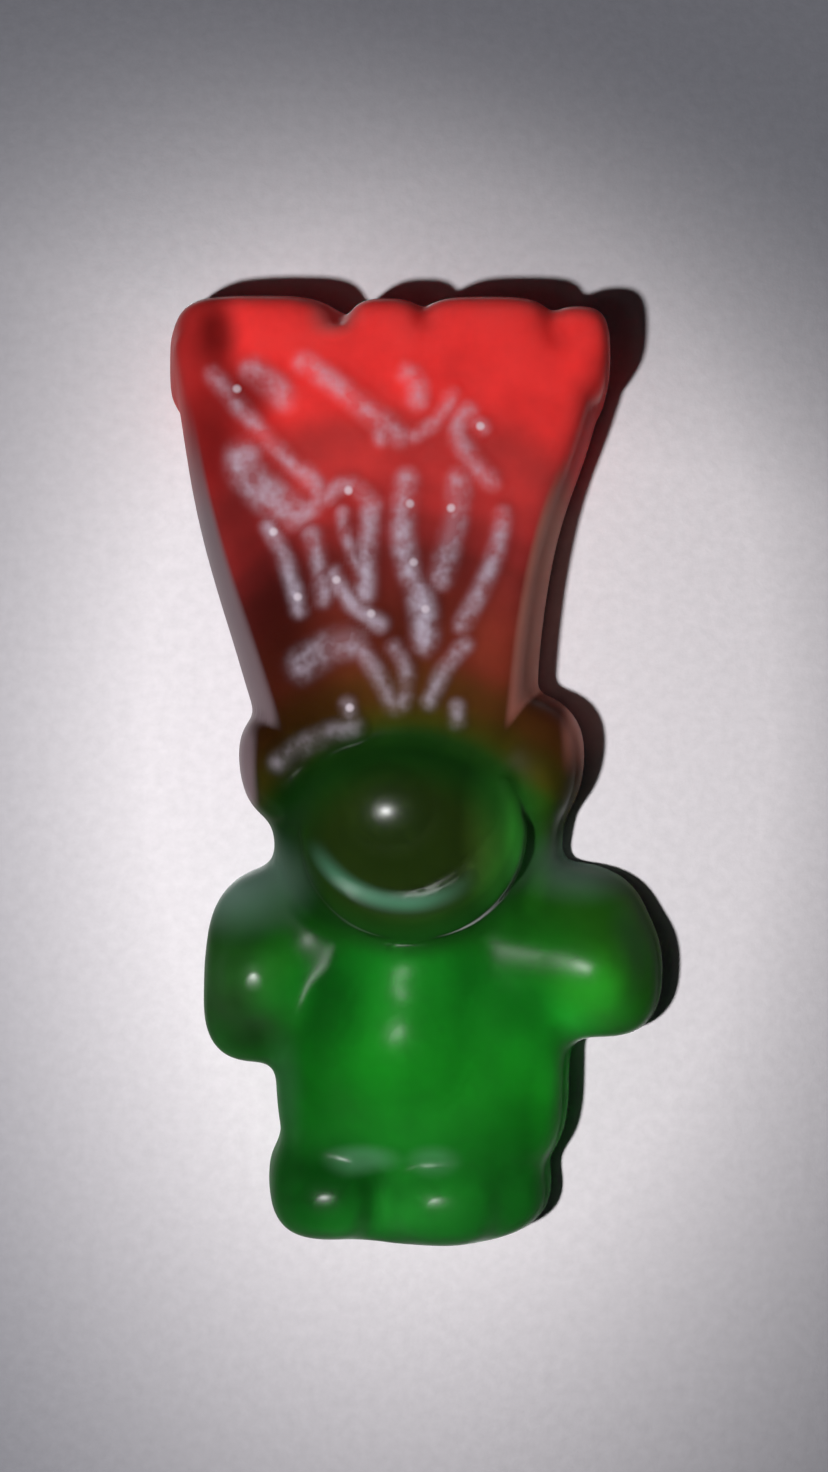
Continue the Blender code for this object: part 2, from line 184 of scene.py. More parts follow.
# Colour of the jelly from the feet to the tips of the hair: height, and linear red, green and blue
GEL_STOPS = (
    (-24.0, (0.009, 0.125, 0.013)),
    (-20.0, (0.007, 0.120, 0.010)),
    (-14.0, (0.005, 0.135, 0.007)),
    (-9.5, (0.005, 0.130, 0.008)),
    (-7.0, (0.007, 0.095, 0.006)),
    (-2.0, (0.010, 0.065, 0.004)),
    (0.5, (0.020, 0.060, 0.004)),
    (2.2, (0.060, 0.050, 0.005)),
    (4.0, (0.105, 0.036, 0.008)),
    (6.5, (0.185, 0.029, 0.015)),
    (10.8, (0.180, 0.021, 0.017)),
    (12.3, (0.285, 0.026, 0.024)),
    (13.8, (0.480, 0.038, 0.036)),
    (15.2, (0.580, 0.046, 0.044)),
    (16.7, (0.520, 0.043, 0.041)),
    (19.5, (0.880, 0.048, 0.046)),
    (24.0, (1.000, 0.050, 0.048)),
)

# The edge between the gels wanders: how coarse and how far, and how it curves upwards to both sides of its middle
WANDER_SCALE = 0.20
WANDER = 1.0
DOME_MIDDLE = -0.5
DOME = 0.05

# Where the hair takes over from the body, and which slopes count as steep
HAIR_START = (-0.5, 2.5)
STEEP = (0.85, 0.35)

# Darker jelly of the face: middle, radii, softness, share, and colour
FACE_TINTS = {
    "face": ((-0.5, -3.2), (7.0, 5.6), 0.12, 0.9, (0.006, 0.046, 0.005)),
    "muzzle": ((-0.8, -3.6), (4.6, 3.6), 0.3, 0.8, (0.018, 0.028, 0.004)),
}

# Painted shade on the left side of the hair, along a leaning line: its lean and place, where the shade ends and
# starts, what is kept
SIDE_SHADE = (0.333, -3.67, -8.0, -4.0, 0.38)

# Painted light on the body, from darker at its left side to brighter at its right, and the random brightness of the
# jelly's cloudy patches
BODY_SIDES = (-8.0, 9.0, 0.75, 1.35)
CLOUD_SCALE = 0.35
CLOUDS = (0.3, 0.7, 0.88, 1.12)

# Painted shade on the steep walls: how much they are dimmed, from the height where this is strongest to where it
# ends
WALL_DIMMING = (0.0, 20.0, 0.30, 0.0)

# Painted highlight on the chin ridge, a pale gleam: half its width as a share of the ridge, where it fades in
# downwards and to the left, and its colour
CHIN_GLEAM_WIDTH = 0.14
CHIN_GLEAM_DOWN = (-3.0, -5.8)
CHIN_GLEAM_LEFT = (3.4, -0.5, 0.0, 0.85)
CHIN_GLEAM_COLOUR = (0.085, 0.25, 0.15)

# Frost on the locks, partly a painted highlight: how tight it keeps to the crests, its patches, where it fades up
# the hair and at the roots, a fainter place at the left root, and its colour
FROST_HIGHLIGHT_TIGHTNESS = 1.8
FROST_HIGHLIGHT_PATCH_SCALE = 1.0
FROST_HIGHLIGHT_PATCHES = (0.35, 0.65, 0.25, 0.85)
FROST_HIGHLIGHT_UPWARDS = (19.0, 8.0, 0.6, 1.0)
FROST_HIGHLIGHT_AT_ROOTS = (1.5, 3.5, 0.4, 1.0)
FROST_HIGHLIGHT_FAINT = ((-3.4, 4.4), (5.0, 3.0), 0.5, 0.65)
FROST_HIGHLIGHT_COLOUR = (0.56, 0.50, 0.60)

# Painted reflection and glow on the side walls of the head and hair, grey on the left and reddish brown on the
# right: how far they turn to the side, where they start and end, and their colour
LEFT_WALL_TURN = (-0.65, -0.90)
LEFT_WALL_START = (-2.8, -1.2)
LEFT_WALL_SIDE = (-6.4, -7.2)
LEFT_WALL_END = (19.0, 12.0)
LEFT_WALL_REFLECTION_COLOUR = (0.155, 0.110, 0.120)
RIGHT_WALL_TURN = (0.55, 0.85)
RIGHT_WALL_END = (16.0, 12.0)
RIGHT_WALL_GLOW_COLOUR = (0.55, 0.20, 0.15)

# Painted light and shade in the jelly, where light gathers or leaves it dim: middle, radii, softness and how bright
# against the rest
PAINTED_GLOWS_AND_SHADES = {
    "belly_glow": ((-0.2, -13.8), (4.2, 6.4), 0.55, 1.75),
    "belly_band": ((-1.6, -13.2), (1.1, 4.4), 0.60, 1.15),
    "left_chest": ((-4.4, -11.8), (1.6, 2.4), 0.70, 0.62),
    "right_flank": ((6.6, -14.2), (1.8, 2.0), 0.70, 1.80),
    "right_thigh": ((7.2, -17.8), (1.1, 2.8), 0.70, 1.80),
    "right_arm_glow": ((8.9, -11.1), (1.9, 1.9), 0.60, 1.9),
    "right_arm": ((9.0, -9.2), (3.8, 3.2), 0.60, 1.45),
    "left_arm_glow": ((-6.8, -10.6), (1.5, 2.0), 0.60, 2.4),
    "left_hand": ((-8.6, -12.6), (2.2, 1.7), 0.50, 0.60),
    "left_foot": ((-4.9, -20.5), (2.2, 1.6), 0.60, 0.75),
    "left_toes": ((-2.6, -22.2), (2.0, 1.1), 0.70, 1.80),
    "right_foot": ((2.6, -21.6), (3.2, 1.7), 0.60, 1.35),
    "left_cheek": ((-5.6, -3.6), (1.6, 3.2), 0.60, 0.75),
    "right_cheek": ((4.0, -2.9), (1.3, 3.3), 0.60, 2.8),
    "right_crease": ((5.8, -3.2), (1.0, 2.6), 0.70, 3.0),
    "left_ear": ((-7.2, 0.6), (2.0, 2.4), 0.60, 0.55),
    "right_ear": ((6.4, -0.2), (2.8, 2.8), 0.60, 0.60),
    "right_root": ((4.7, 7.4), (1.7, 3.2), 0.70, 1.50),
    "middle_root": ((-0.8, 7.2), (2.0, 2.0), 0.80, 0.65),
    "left_root": ((-6.3, 6.6), (1.6, 3.0), 0.70, 0.75),
    "left_side": ((-10.4, 16.2), (1.4, 2.2), 0.70, 0.60),
    "left_gap": ((-8.1, 18.7), (1.4, 1.4), 0.80, 0.42),
    "right_side": ((9.2, 18.8), (1.2, 1.7), 0.70, 0.60),
    "temple": ((-9.8, 21.7), (0.9, 1.9), 0.80, 0.38),
    "far_temple": ((7.3, 21.4), (0.9, 0.8), 0.90, 0.80),
    "first_root": ((-4.0, 22.5), (0.9, 0.8), 0.90, 2.40),
}

# Small bubbles under the skin of the hair, shown by painted glints: their radius, the glints' share and colour, and
# the slopes they fade out on
BUBBLES = (
    (-8.72, 18.79),
    (-6.91, 11.77),
    (-5.72, 8.59),
    (-3.83, 9.41),
    (-2.14, 7.76),
    (-0.07, 10.27),
    (0.51, 7.98),
    (-0.25, 13.13),
    (1.76, 12.92),
    (3.19, 16.93),
    (-3.25, 13.78),
    (-3.18, 3.18),
)
BUBBLE_RADIUS = 0.19
BUBBLE_GLINT_SHARE = 0.7
BUBBLE_GLINT_COLOUR = (0.75, 0.66, 0.72)
BUBBLE_GLINT_SLOPES = (0.3, 0.7)

# Where the skin came smoother out of the mould and shines more: middle, radii and how much more
GLOSSY = {
    "nose_tip": ((-1.0, -1.8), (1.8, 1.8), 0.75),
    "left_shoulder": ((-8.2, -9.9), (1.6, 1.3), 0.48),
    "right_upper_arm": ((5.6, -9.2), (3.2, 1.2), 0.07),
    "right_knuckle": ((8.0, -9.4), (1.1, 1.0), 0.32),
    "chest": ((-0.8, -10.2), (1.8, 1.3), -0.06),
    "left_fold": ((-3.7, -18.6), (2.2, 1.0), 0.20),
    "right_fold": ((1.0, -18.6), (2.2, 1.0), 0.05),
    "left_toes": ((-4.3, -21.2), (1.6, 1.4), 0.40),
    "right_toes": ((0.9, -21.4), (1.6, 1.4), 0.25),
}

GLOSSY_SOFTNESS = 0.5

# Painted reflections and highlights on the jelly, pale places in its colour: middle, half width and length,
# softness, share, and colour
PAINTED_REFLECTIONS = {
    "left_shoulder": ((-9.2, -5.6), (2.6, 1.8), 0.9, 0.62, (0.14, 0.23, 0.19)),
    "left_arm": ((-8.4, -11.8), (2.0, 2.6), 0.7, 0.14, (0.09, 0.14, 0.07)),
    "left_flank": ((-6.7, -16.2), (0.9, 2.4), 0.7, 0.10, (0.09, 0.13, 0.13)),
    "right_shoulder": ((8.5, -4.8), (2.3, 1.2), 0.9, 0.60, (0.16, 0.25, 0.20)),
    "right_sleeve": ((11.2, -7.8), (1.1, 2.2), 0.7, 0.15, (0.09, 0.18, 0.10)),
    "left_fold": ((-2.6, -19.3), (1.4, 0.6), 0.7, 0.26, (0.24, 0.52, 0.34)),
    "right_fold": ((0.9, -19.3), (1.0, 0.6), 0.7, 0.18, (0.24, 0.52, 0.34)),
}

# The jelly: how it bends light, the width of its coat's shine, its dusty sheen, and how deep light goes
# in millimetres
JELLY_IOR = 1.48
COAT_ROUGHNESS = 0.30
SHEEN = 0.30
SHEEN_ROUGHNESS = 0.25
LIGHT_DEPTH = 1.6

# The fine grain of the skin: its scale, its strength, how much more there is on the locks, and its height
GRAIN_SCALE = 4.0
GRAIN = 0.06
GRAIN_ON_LOCKS = 0.06
GRAIN_HEIGHT = 0.04


class TrollSizes(bpy.types.PropertyGroup):
    """Sizes of the sweet that can be changed before it is built."""

    height: bpy.props.FloatProperty(
        name="Height",
        description="From the feet to the tips of the hair",
        default=SOLID_BOX[1].y - SOLID_BOX[0].y,
        min=0.01,
        unit="LENGTH",
    )
    hair_depth: bpy.props.FloatProperty(
        name="Hair depth",
        description="Thickness of the hair at the forehead, in millimetres",
        default=7.2,
        min=1.0,
    )
    hair_rise: bpy.props.FloatProperty(
        name="Hair rise",
        description="How much thicker the hair gets for each millimetre upwards",
        default=-0.012,
    )
    hair_draft: bpy.props.FloatProperty(
        name="Hair draft",
        description="Lean of the hair's side walls at the tips, in millimetres",
        default=1.6,
    )
    hair_flare: bpy.props.FloatProperty(
        name="Hair flare",
        description="How much more the side walls lean for each millimetre down from the tips",
        default=0.05,
    )
    hair_crown: bpy.props.FloatProperty(
        name="Hair crown",
        description="Rise of the hair's middle over its edges, in millimetres",
        default=0.25,
    )
    lock_height: bpy.props.FloatProperty(
        name="Lock height",
        description="How far the locks stand out of the hair, in millimetres",
        default=0.26,
        min=0.0,
    )
    lock_spread: bpy.props.FloatProperty(
        name="Lock spread",
        description="Width of a lock's foot, as a share of its crest",
        default=1.05,
        min=0.2,
    )


class TrollFinish(bpy.types.PropertyGroup):
    """Colours and finish of the sweet and the paper."""

    shine: bpy.props.FloatProperty(
        name="Roughness",
        description="Roughness of the smooth jelly",
        default=0.30,
        min=0.0,
        max=1.0,
        subtype="FACTOR",
    )
    lock_shine: bpy.props.FloatProperty(
        name="Matt roughness",
        description="Roughness of the jelly on the locks of hair",
        default=0.36,
        min=0.0,
        max=1.0,
        subtype="FACTOR",
    )
    gloss: bpy.props.FloatProperty(
        name="Gloss",
        description="Strength of the thin shining skin over the smooth jelly",
        default=0.10,
        min=0.0,
        max=1.0,
        subtype="FACTOR",
    )
    clearness: bpy.props.FloatProperty(
        name="Clearness",
        description="Share of the light that goes straight through the front of the jelly",
        default=0.05,
        min=0.0,
        max=1.0,
        subtype="FACTOR",
    )
    paper: bpy.props.FloatVectorProperty(
        name="Paper",
        description="Colour of the paper under the sweet",
        default=(0.93, 0.88, 0.92),
        size=3,
        min=0.0,
        max=1.0,
        subtype="COLOR",
    )


def linked(name, data):
    obj = bpy.data.objects.new(name, data)
    bpy.context.scene.collection.objects.link(obj)
    return obj


def mesh_object(name, bm):
    mesh = bpy.data.meshes.new(name)
    bm.to_mesh(mesh)
    bm.free()
    return linked(name, mesh)


def vertex_values(mesh, attribute):
    """A vertex attribute of three numbers, one row for each vertex."""
    values = np.empty(len(mesh.vertices) * 3)
    mesh.vertices.foreach_get(attribute, values)
    return values.reshape(-1, 3)


def move_vertices(mesh, places):
    mesh.vertices.foreach_set("co", places.ravel())
    mesh.update()


def mass(name, centre, radii, turn, squareness, fullness, narrowing):
    """A rounded lump between an ellipsoid and a box, narrowing towards the front."""
    bm = bmesh.new()
    bmesh.ops.create_uvsphere(bm, u_segments=64, v_segments=40, radius=1.0)
    for vert in bm.verts:
        unit = vert.co
        level = (abs(unit.x) ** squareness + abs(unit.y) ** squareness) ** (1 / squareness)
        unit /= (level**fullness + abs(unit.z) ** fullness) ** (1 / fullness)
        slim = 1 - narrowing * max(unit.z, 0)
        vert.co = Vector((unit.x * radii[0] * slim, unit.y * radii[1] * slim, unit.z * radii[2]))
    obj = mesh_object(name, bm)
    obj.location = centre
    obj.rotation_euler.z = math.radians(turn)
    return obj


def hair_section(sizes, height, left, right):
    """One section across the hair: walls that lean in from the back, and a crowned front."""
    depth = sizes.hair_depth + sizes.hair_rise * height
    draft = sizes.hair_draft + sizes.hair_flare * (HAIR_STATIONS[-1][0] - height)
    middle = (left + right) / 2
    walls = (
        (-0.05, -SUNK),
        (0.22, 0.35 * depth),
        (0.72, 0.93 * depth),
        (1.20, depth),
    )
    across = [(left + inset * draft, z) for inset, z in walls]
    across.append((middle, depth + sizes.hair_crown))
    across += [(right - inset * draft, z) for inset, z in reversed(walls)]
    return [Vector((x, height, z)) for x, z in across]


def hair_block(sizes):
    """The hair as a coarse cage over its sections, rounded by subdivision."""
    bm = bmesh.new()
    rings = [[bm.verts.new(p) for p in hair_section(sizes, *station)] for station in HAIR_STATIONS]
    for lower, upper in zip(rings, rings[1:]):
        for i in range(len(lower)):
            bm.faces.new((lower[i - 1], lower[i], upper[i], upper[i - 1]))
    bm.faces.new(rings[0])
    bm.faces.new(rings[-1])
    bmesh.ops.recalc_face_normals(bm, faces=bm.faces)
    obj = mesh_object("hair_block", bm)
    rounding = obj.modifiers.new("rounding", "SUBSURF")
    rounding.levels = rounding.render_levels = 3
    return obj


def tube(name, points, radii):
    """A round cord through the points, its radius given at each, with rounded ends."""
    curve = bpy.data.curves.new(name, "CURVE")
    curve.dimensions = "3D"
    curve.bevel_depth = 1
    curve.bevel_resolution = 3
    curve.use_fill_caps = True
    spline = curve.splines.new("POLY")
    spline.points.add(len(points) - 1)
    for knot, point, radius in zip(spline.points, points, radii):
        knot.co = (*point, 1)
        knot.radius = radius
    return linked(name, curve)


def bar(name, start, end, radius):
    """A thick bar with round ends."""
    count = 24
    way = Vector(end) - Vector(start)
    points = []
    radii = []
    for i in range(count + 1):
        along = 0.5 - 0.5 * math.cos(math.pi * i / count)
        from_end = min(along, 1 - along) * way.length
        points.append(Vector(start) + way * along)
        radii.append(max(0.05, math.sqrt(max(0, 1 - max(0, 1 - from_end / radius) ** 2)) * radius))
    return tube(name, points, radii)


def evaluated_mesh(obj):
    """The object's mesh with its modifiers, in world space."""
    graph = bpy.context.evaluated_depsgraph_get()
    mesh = bpy.data.meshes.new_from_object(obj.evaluated_get(graph))
    mesh.transform(obj.matrix_world)
    return mesh


def melted(obj, passes):
    """Smooths the object's skin."""
    melt = obj.modifiers.new("melt", "SMOOTH")
    melt.factor = 0.5
    melt.iterations = passes
    obj.data = evaluated_mesh(obj)
    obj.modifiers.clear()


def fused(name, pieces, voxel, passes):
    """One skin over all the pieces, smoothed so that they melt into each other."""
    bpy.context.view_layer.update()
    bm = bmesh.new()
    for piece in pieces:
        bm.from_mesh(evaluated_mesh(piece))
    obj = mesh_object(name, bm)
    skin = obj.modifiers.new("skin", "REMESH")
    skin.mode = "VOXEL"
    skin.voxel_size = voxel
    melted(obj, passes)
    for piece in pieces:
        bpy.data.objects.remove(piece)
    return obj


def press_hollows(obj):
    """Pushes the front in where the hollows are, fading out to nothing round each."""
    places = vertex_values(obj.data, "co")
    x, y, z = places.T.copy()
    for cx, cy, half_width, half_length, turn, depth in HOLLOWS.values():
        ca = math.cos(math.radians(turn))
        sa = math.sin(math.radians(turn))
        u = ((x - cx) * ca + (y - cy) * sa) / half_width
        v = ((y - cy) * ca - (x - cx) * sa) / half_length
        places[:, 2] -= depth * np.exp(-(u * u + v * v)) * np.clip((z - 2) / 2, 0, 1)
    move_vertices(obj.data, places)


def press_hairline(obj):
    """A groove round the top of the face, where the hair starts."""
    cx, cy, half_width, half_length, width, depth = HAIRLINE
    places = vertex_values(obj.data, "co")
    x, y, z = places.T.copy()
    out = np.hypot((x - cx) / half_width, (y - cy) / half_length)
    away = (out - 1) * min(half_width, half_length) / width
    fade = np.clip((y - cy) / 2, 0, 1) * np.clip((z - 4) / 2, 0, 1)
    places[:, 2] -= depth * np.exp(-away * away) * fade
    move_vertices(obj.data, places)


def front_of(obj):
    """A function that gives the height of the object's front over a point."""
    bm = bmesh.new()
    bm.from_mesh(obj.data)
    tree = BVHTree.FromBMesh(bm)
    bm.free()

    def height(x, y):
        hit = tree.ray_cast(Vector((x, y, 30)), Vector((0, 0, -1)))[0]
        return hit.z

    return height


def chin_ridge(height):
    start, end = CHIN_ARC
    count = 36
    points = []
    radii = []
    for i in range(count + 1):
        along = i / count
        angle = math.radians(start + (end - start) * along)
        x = CHIN_CENTRE[0] + CHIN_RADII[0] * math.cos(angle)
        y = CHIN_CENTRE[1] + CHIN_RADII[1] * math.sin(angle)
        radius = CHIN_THICKNESS * max(0.1, math.sin(math.pi * along)) ** 0.6
        lean = CHIN_TILT * (x - CHIN_CENTRE[0])
        points.append((x, y, height(x, y) + lean - radius * (1 - CHIN_STANDING)))
        radii.append(radius)
    return tube("chin_ridge", points, radii)


def nose(height):
    x, y, radius, standing = NOSE
    z = height(x, y) + standing - radius
    return mass("nose", (x, y, z), (radius * 1.15, radius, radius), 0, 2, 2, 0)


def smooth_step(share):
    share = np.clip(share, 0, 1)
    return share * share * (3 - 2 * share)


def distance_to_lock(spots, lock):
    """How far each spot is from the curve that runs through the lock's three points."""
    start, middle, end = (np.array(lock[i : i + 2]) for i in (0, 2, 4))
    bend = 2 * middle - (start + end) / 2
    along = np.linspace(0, 1, 13)[:, None]
    curve = start * (1 - along) ** 2 + bend * 2 * along * (1 - along) + end * along**2
    nearest = np.full(len(spots), np.inf)
    for a, b in zip(curve, curve[1:]):
        run = b - a
        share = np.clip((spots - a) @ run / (run @ run), 0, 1)[:, None]
        nearest = np.minimum(nearest, np.linalg.norm(spots - a - share * run, axis=1))
    return nearest


def raise_locks(obj, sizes):
    """Lifts the front into rounded locks that meet in narrow valleys, and notes where they are."""
    places = vertex_values(obj.data, "co")
    facing = np.clip(vertex_values(obj.data, "normal")[:, 2] / 0.7, 0, 1)
    lift = np.zeros(len(places))
    for lock in LOCKS:
        across = distance_to_lock(places[:, :2], lock) / (lock[6] * sizes.lock_spread)
        lift = np.maximum(lift, math.sqrt(lock[6]) * smooth_step(1 - across))
    places[:, 2] += lift * facing * sizes.lock_height
    move_vertices(obj.data, places)
    layer = obj.data.attributes.new("lock", "FLOAT", "POINT")
    layer.data.foreach_set("value", np.clip(lift * facing, 0, 1).astype(np.float32))
    melted(obj, LOCK_MELTING)


def cut_back_flat(obj):
    bm = bmesh.new()
    bm.from_mesh(obj.data)
    everything = bm.verts[:] + bm.edges[:] + bm.faces[:]
    cut = bmesh.ops.bisect_plane(
        bm,
        geom=everything,
        dist=1e-4,
        plane_co=(0, 0, 0),
        plane_no=(0, 0, 1),
        clear_inner=True,
    )
    rim = [e for e in cut["geom_cut"] if isinstance(e, bmesh.types.BMEdge)]
    bmesh.ops.holes_fill(bm, edges=rim, sides=0)
    bmesh.ops.triangulate(bm, faces=[f for f in bm.faces if len(f.verts) > 4])
    bmesh.ops.recalc_face_normals(bm, faces=bm.faces)
    bm.to_mesh(obj.data)
    bm.free()


def bring_to_size(obj, sizes):
    """Scales to the stated height in metres, and puts the middle of the figure over the middle of its solid."""
    places = vertex_values(obj.data, "co")
    low = places.min(axis=0)
    high = places.max(axis=0)
    scale = sizes.height / (high[1] - low[1])
    middle = (SOLID_BOX[0] + SOLID_BOX[1]) / 2
    places -= (low + high) / 2 * (1, 1, 0)
    places *= scale
    places += (middle.x, middle.y, SOLID_BOX[0].z)
    move_vertices(obj.data, places)


def add_node(tree, kind, sockets=None, **settings):
    """A shader node with its settings and its sockets' values or links."""
    made = tree.nodes.new("ShaderNode" + kind)
    for name, value in settings.items():
        setattr(made, name, value)
    for name, value in (sockets or {}).items():
        if isinstance(value, bpy.types.NodeSocket):
            tree.links.new(value, made.inputs[name])
        else:
            made.inputs[name].default_value = value
    return made


def maths(tree, operation, first, second=0.0, third=0.0):
    sockets = {0: first, 1: second, 2: third}
    return add_node(tree, "Math", sockets, operation=operation).outputs[0]


def product(tree, *values):
    made = values[0]
    for value in values[1:]:
        made = maths(tree, "MULTIPLY", made, value)
    return made


def vectors(tree, operation, sockets, output="Vector"):
    return add_node(tree, "VectorMath", sockets, operation=operation).outputs[output]


def millimetres(tree):
    """The place on the object, in millimetres."""
    place = add_node(tree, "TexCoord").outputs["Object"]
    return vectors(tree, "SCALE", {0: place, "Scale": 1 / MM})


def spread(tree, value, low, high, to_low=0.0, to_high=1.0, smooth=False):
    """The value brought from one range to another, and held inside it."""
    sockets = {"Value": value, "From Min": low, "From Max": high, "To Min": to_low, "To Max": to_high}
    kind = "SMOOTHSTEP" if smooth else "LINEAR"
    return add_node(tree, "MapRange", sockets, interpolation_type=kind).outputs["Result"]


def mixed(tree, share, first, second, kind="MIX"):
    made = add_node(tree, "Mix", data_type="RGBA", blend_type=kind)
    for index, value in ((0, share), (6, first), (7, second)):
        if isinstance(value, bpy.types.NodeSocket):
            tree.links.new(value, made.inputs[index])
        else:
            made.inputs[index].default_value = value
    return made.outputs[2]


def noise(tree, spot, scale, detail=2.0, roughness=0.5):
    sockets = {"Vector": spot, "Scale": scale, "Detail": detail, "Roughness": roughness}
    return add_node(tree, "TexNoise", sockets).outputs["Fac"]


def ramp(tree, value, stops, low, high):
    """A colour for each place between the stops, which are in the value's own units."""
    place = spread(tree, value, low, high)
    made = add_node(tree, "ValToRGB", {"Fac": place})
    made.color_ramp.interpolation = "EASE"
    elements = made.color_ramp.elements
    while len(elements) < len(stops):
        elements.new(0.5)
    for element, (at, colour) in zip(elements, stops):
        element.position = (at - low) / (high - low)
        element.color = (*colour, 1)
    return made.outputs["Color"]


def from_middle(tree, spot, centre, radii):
    """How far out in an oval a place is, with one on its edge."""
    off = vectors(tree, "SUBTRACT", {0: spot, 1: (*centre, 0)})
    part = vectors(tree, "MULTIPLY", {0: off, 1: (1 / radii[0], 1 / radii[1], 0)})
    return vectors(tree, "LENGTH", {0: part}, "Value")


def oval(tree, spot, centre, radii, soft):
    """One inside an oval on the front, fading to nothing outside it."""
    return spread(tree, from_middle(tree, spot, centre, radii), 1 + soft, 1 - soft, smooth=True)


def tinted(tree, spot, colour, tints):
    """The colour with each tint laid over it in its own oval."""
    for centre, radii, soft, share, tint in tints.values():
        inside = oval(tree, spot, centre, radii, soft)
        colour = mixed(tree, maths(tree, "MULTIPLY", inside, share), colour, (*tint, 1))
    return colour


def only_in(tree, part, factor):
    """The factor inside the part, and one outside it."""
    return maths(tree, "MULTIPLY_ADD", maths(tree, "SUBTRACT", factor, 1.0), part, 1.0)


def rest_of(tree, part):
    return maths(tree, "SUBTRACT", 1.0, part)


def gel_colour(tree, spot, axes):
    """The two gels that run into each other, and the darker face."""
    wander = maths(tree, "MULTIPLY_ADD", noise(tree, spot, WANDER_SCALE), 2 * WANDER, -WANDER)
    aside = maths(tree, "ADD", axes["X"], -DOME_MIDDLE)
    height = maths(tree, "ADD", maths(tree, "ADD", axes["Y"], wander), product(tree, aside, aside, DOME))
    colour = ramp(tree, height, GEL_STOPS, GEL_STOPS[0][0], GEL_STOPS[-1][0])
    return tinted(tree, spot, colour, FACE_TINTS)


def gel_cloud_and_painted_light(tree, spot, axes, hairy, steep):
    """Painted light and shade in the jelly from place to place, over its own random cloudy patches."""
    lean, place, end, start, kept = SIDE_SHADE
    leaned = maths(tree, "MULTIPLY_ADD", axes["Y"], lean, maths(tree, "ADD", axes["X"], place))
    shade = only_in(tree, hairy, spread(tree, leaned, end, start, kept, 1.0, smooth=True))
    cloud = spread(tree, noise(tree, spot, CLOUD_SCALE, 3.0), *CLOUDS)
    across = only_in(tree, rest_of(tree, hairy), spread(tree, axes["X"], *BODY_SIDES))
    tone_and_painted_light = product(tree, cloud, shade, across)
    for centre, radii, soft, factor in PAINTED_GLOWS_AND_SHADES.values():
        inside = oval(tree, spot, centre, radii, soft)
        tone_and_painted_light = maths(tree, "MULTIPLY", tone_and_painted_light, spread(tree, inside, 0.0, 1.0, 1.0, factor))
    # Painted shade on the steep walls.
    dimmed = maths(tree, "MULTIPLY", steep, spread(tree, axes["Y"], *WALL_DIMMING))
    return maths(tree, "MULTIPLY", tone_and_painted_light, rest_of(tree, dimmed))


def with_painted_chin_gleam(tree, spot, axes, colour):
    # A painted highlight in the colour along the chin ridge.
    ring = from_middle(tree, spot, CHIN_CENTRE, CHIN_RADII)
    off = maths(tree, "ABSOLUTE", maths(tree, "SUBTRACT", ring, 1.0))
    gleam = product(
        tree,
        spread(tree, off, CHIN_GLEAM_WIDTH, 0.0, smooth=True),
        spread(tree, axes["Y"], *CHIN_GLEAM_DOWN, smooth=True),
        spread(tree, axes["X"], *CHIN_GLEAM_LEFT, smooth=True),
    )
    return mixed(tree, gleam, colour, (*CHIN_GLEAM_COLOUR, 1))


def with_frost_and_highlight(tree, spot, axes, lock, colour):
    """The colour with patchy pale frosting on the crests of the locks, partly a painted highlight."""
    patch = spread(tree, noise(tree, spot, FROST_HIGHLIGHT_PATCH_SCALE), *FROST_HIGHLIGHT_PATCHES)
    centre, radii, soft, factor = FROST_HIGHLIGHT_FAINT
    faint = product(
        tree,
        spread(tree, axes["Y"], *FROST_HIGHLIGHT_UPWARDS),
        spread(tree, axes["Y"], *FROST_HIGHLIGHT_AT_ROOTS),
        spread(tree, oval(tree, spot, centre, radii, soft), 0.0, 1.0, 1.0, factor),
    )
    frost_highlight = product(tree, maths(tree, "POWER", lock, FROST_HIGHLIGHT_TIGHTNESS), patch, faint)
    return mixed(tree, frost_highlight, colour, (*FROST_HIGHLIGHT_COLOUR, 1))


def with_bubble_glints(tree, spot, facing, colour):
    # Bubbles shown as painted glints, pale dots in the colour over their places.
    level = vectors(tree, "MULTIPLY", {0: spot, 1: (1, 1, 0)})
    nearest = 1.0
    for x, y in BUBBLES:
        off = vectors(tree, "DISTANCE", {0: level, 1: (x, y, 0)}, "Value")
        nearest = maths(tree, "MINIMUM", nearest, off)
    edges = (1.5 * BUBBLE_RADIUS, 0.5 * BUBBLE_RADIUS)
    bubble_glint = spread(tree, nearest, *edges, 0.0, BUBBLE_GLINT_SHARE, smooth=True)
    bubble_glint = maths(tree, "MULTIPLY", bubble_glint, spread(tree, facing, *BUBBLE_GLINT_SLOPES))
    return mixed(tree, bubble_glint, colour, (*BUBBLE_GLINT_COLOUR, 1))


def with_wall_reflections(tree, axes, way, hairy, colour):
    """The colour with painted reflection and glow on the side walls of the head and hair."""
    left = product(
        tree,
        spread(tree, way["X"], *LEFT_WALL_TURN, smooth=True),
        spread(tree, axes["Y"], *LEFT_WALL_START, smooth=True),
        spread(tree, axes["X"], *LEFT_WALL_SIDE, smooth=True),
        spread(tree, axes["Y"], *LEFT_WALL_END, smooth=True),
    )
    colour = mixed(tree, left, colour, (*LEFT_WALL_REFLECTION_COLOUR, 1))
    right = product(
        tree,
        spread(tree, way["X"], *RIGHT_WALL_TURN, smooth=True),
        hairy,
        spread(tree, axes["Y"], *RIGHT_WALL_END, smooth=True),
    )
    return mixed(tree, right, colour, (*RIGHT_WALL_GLOW_COLOUR, 1))


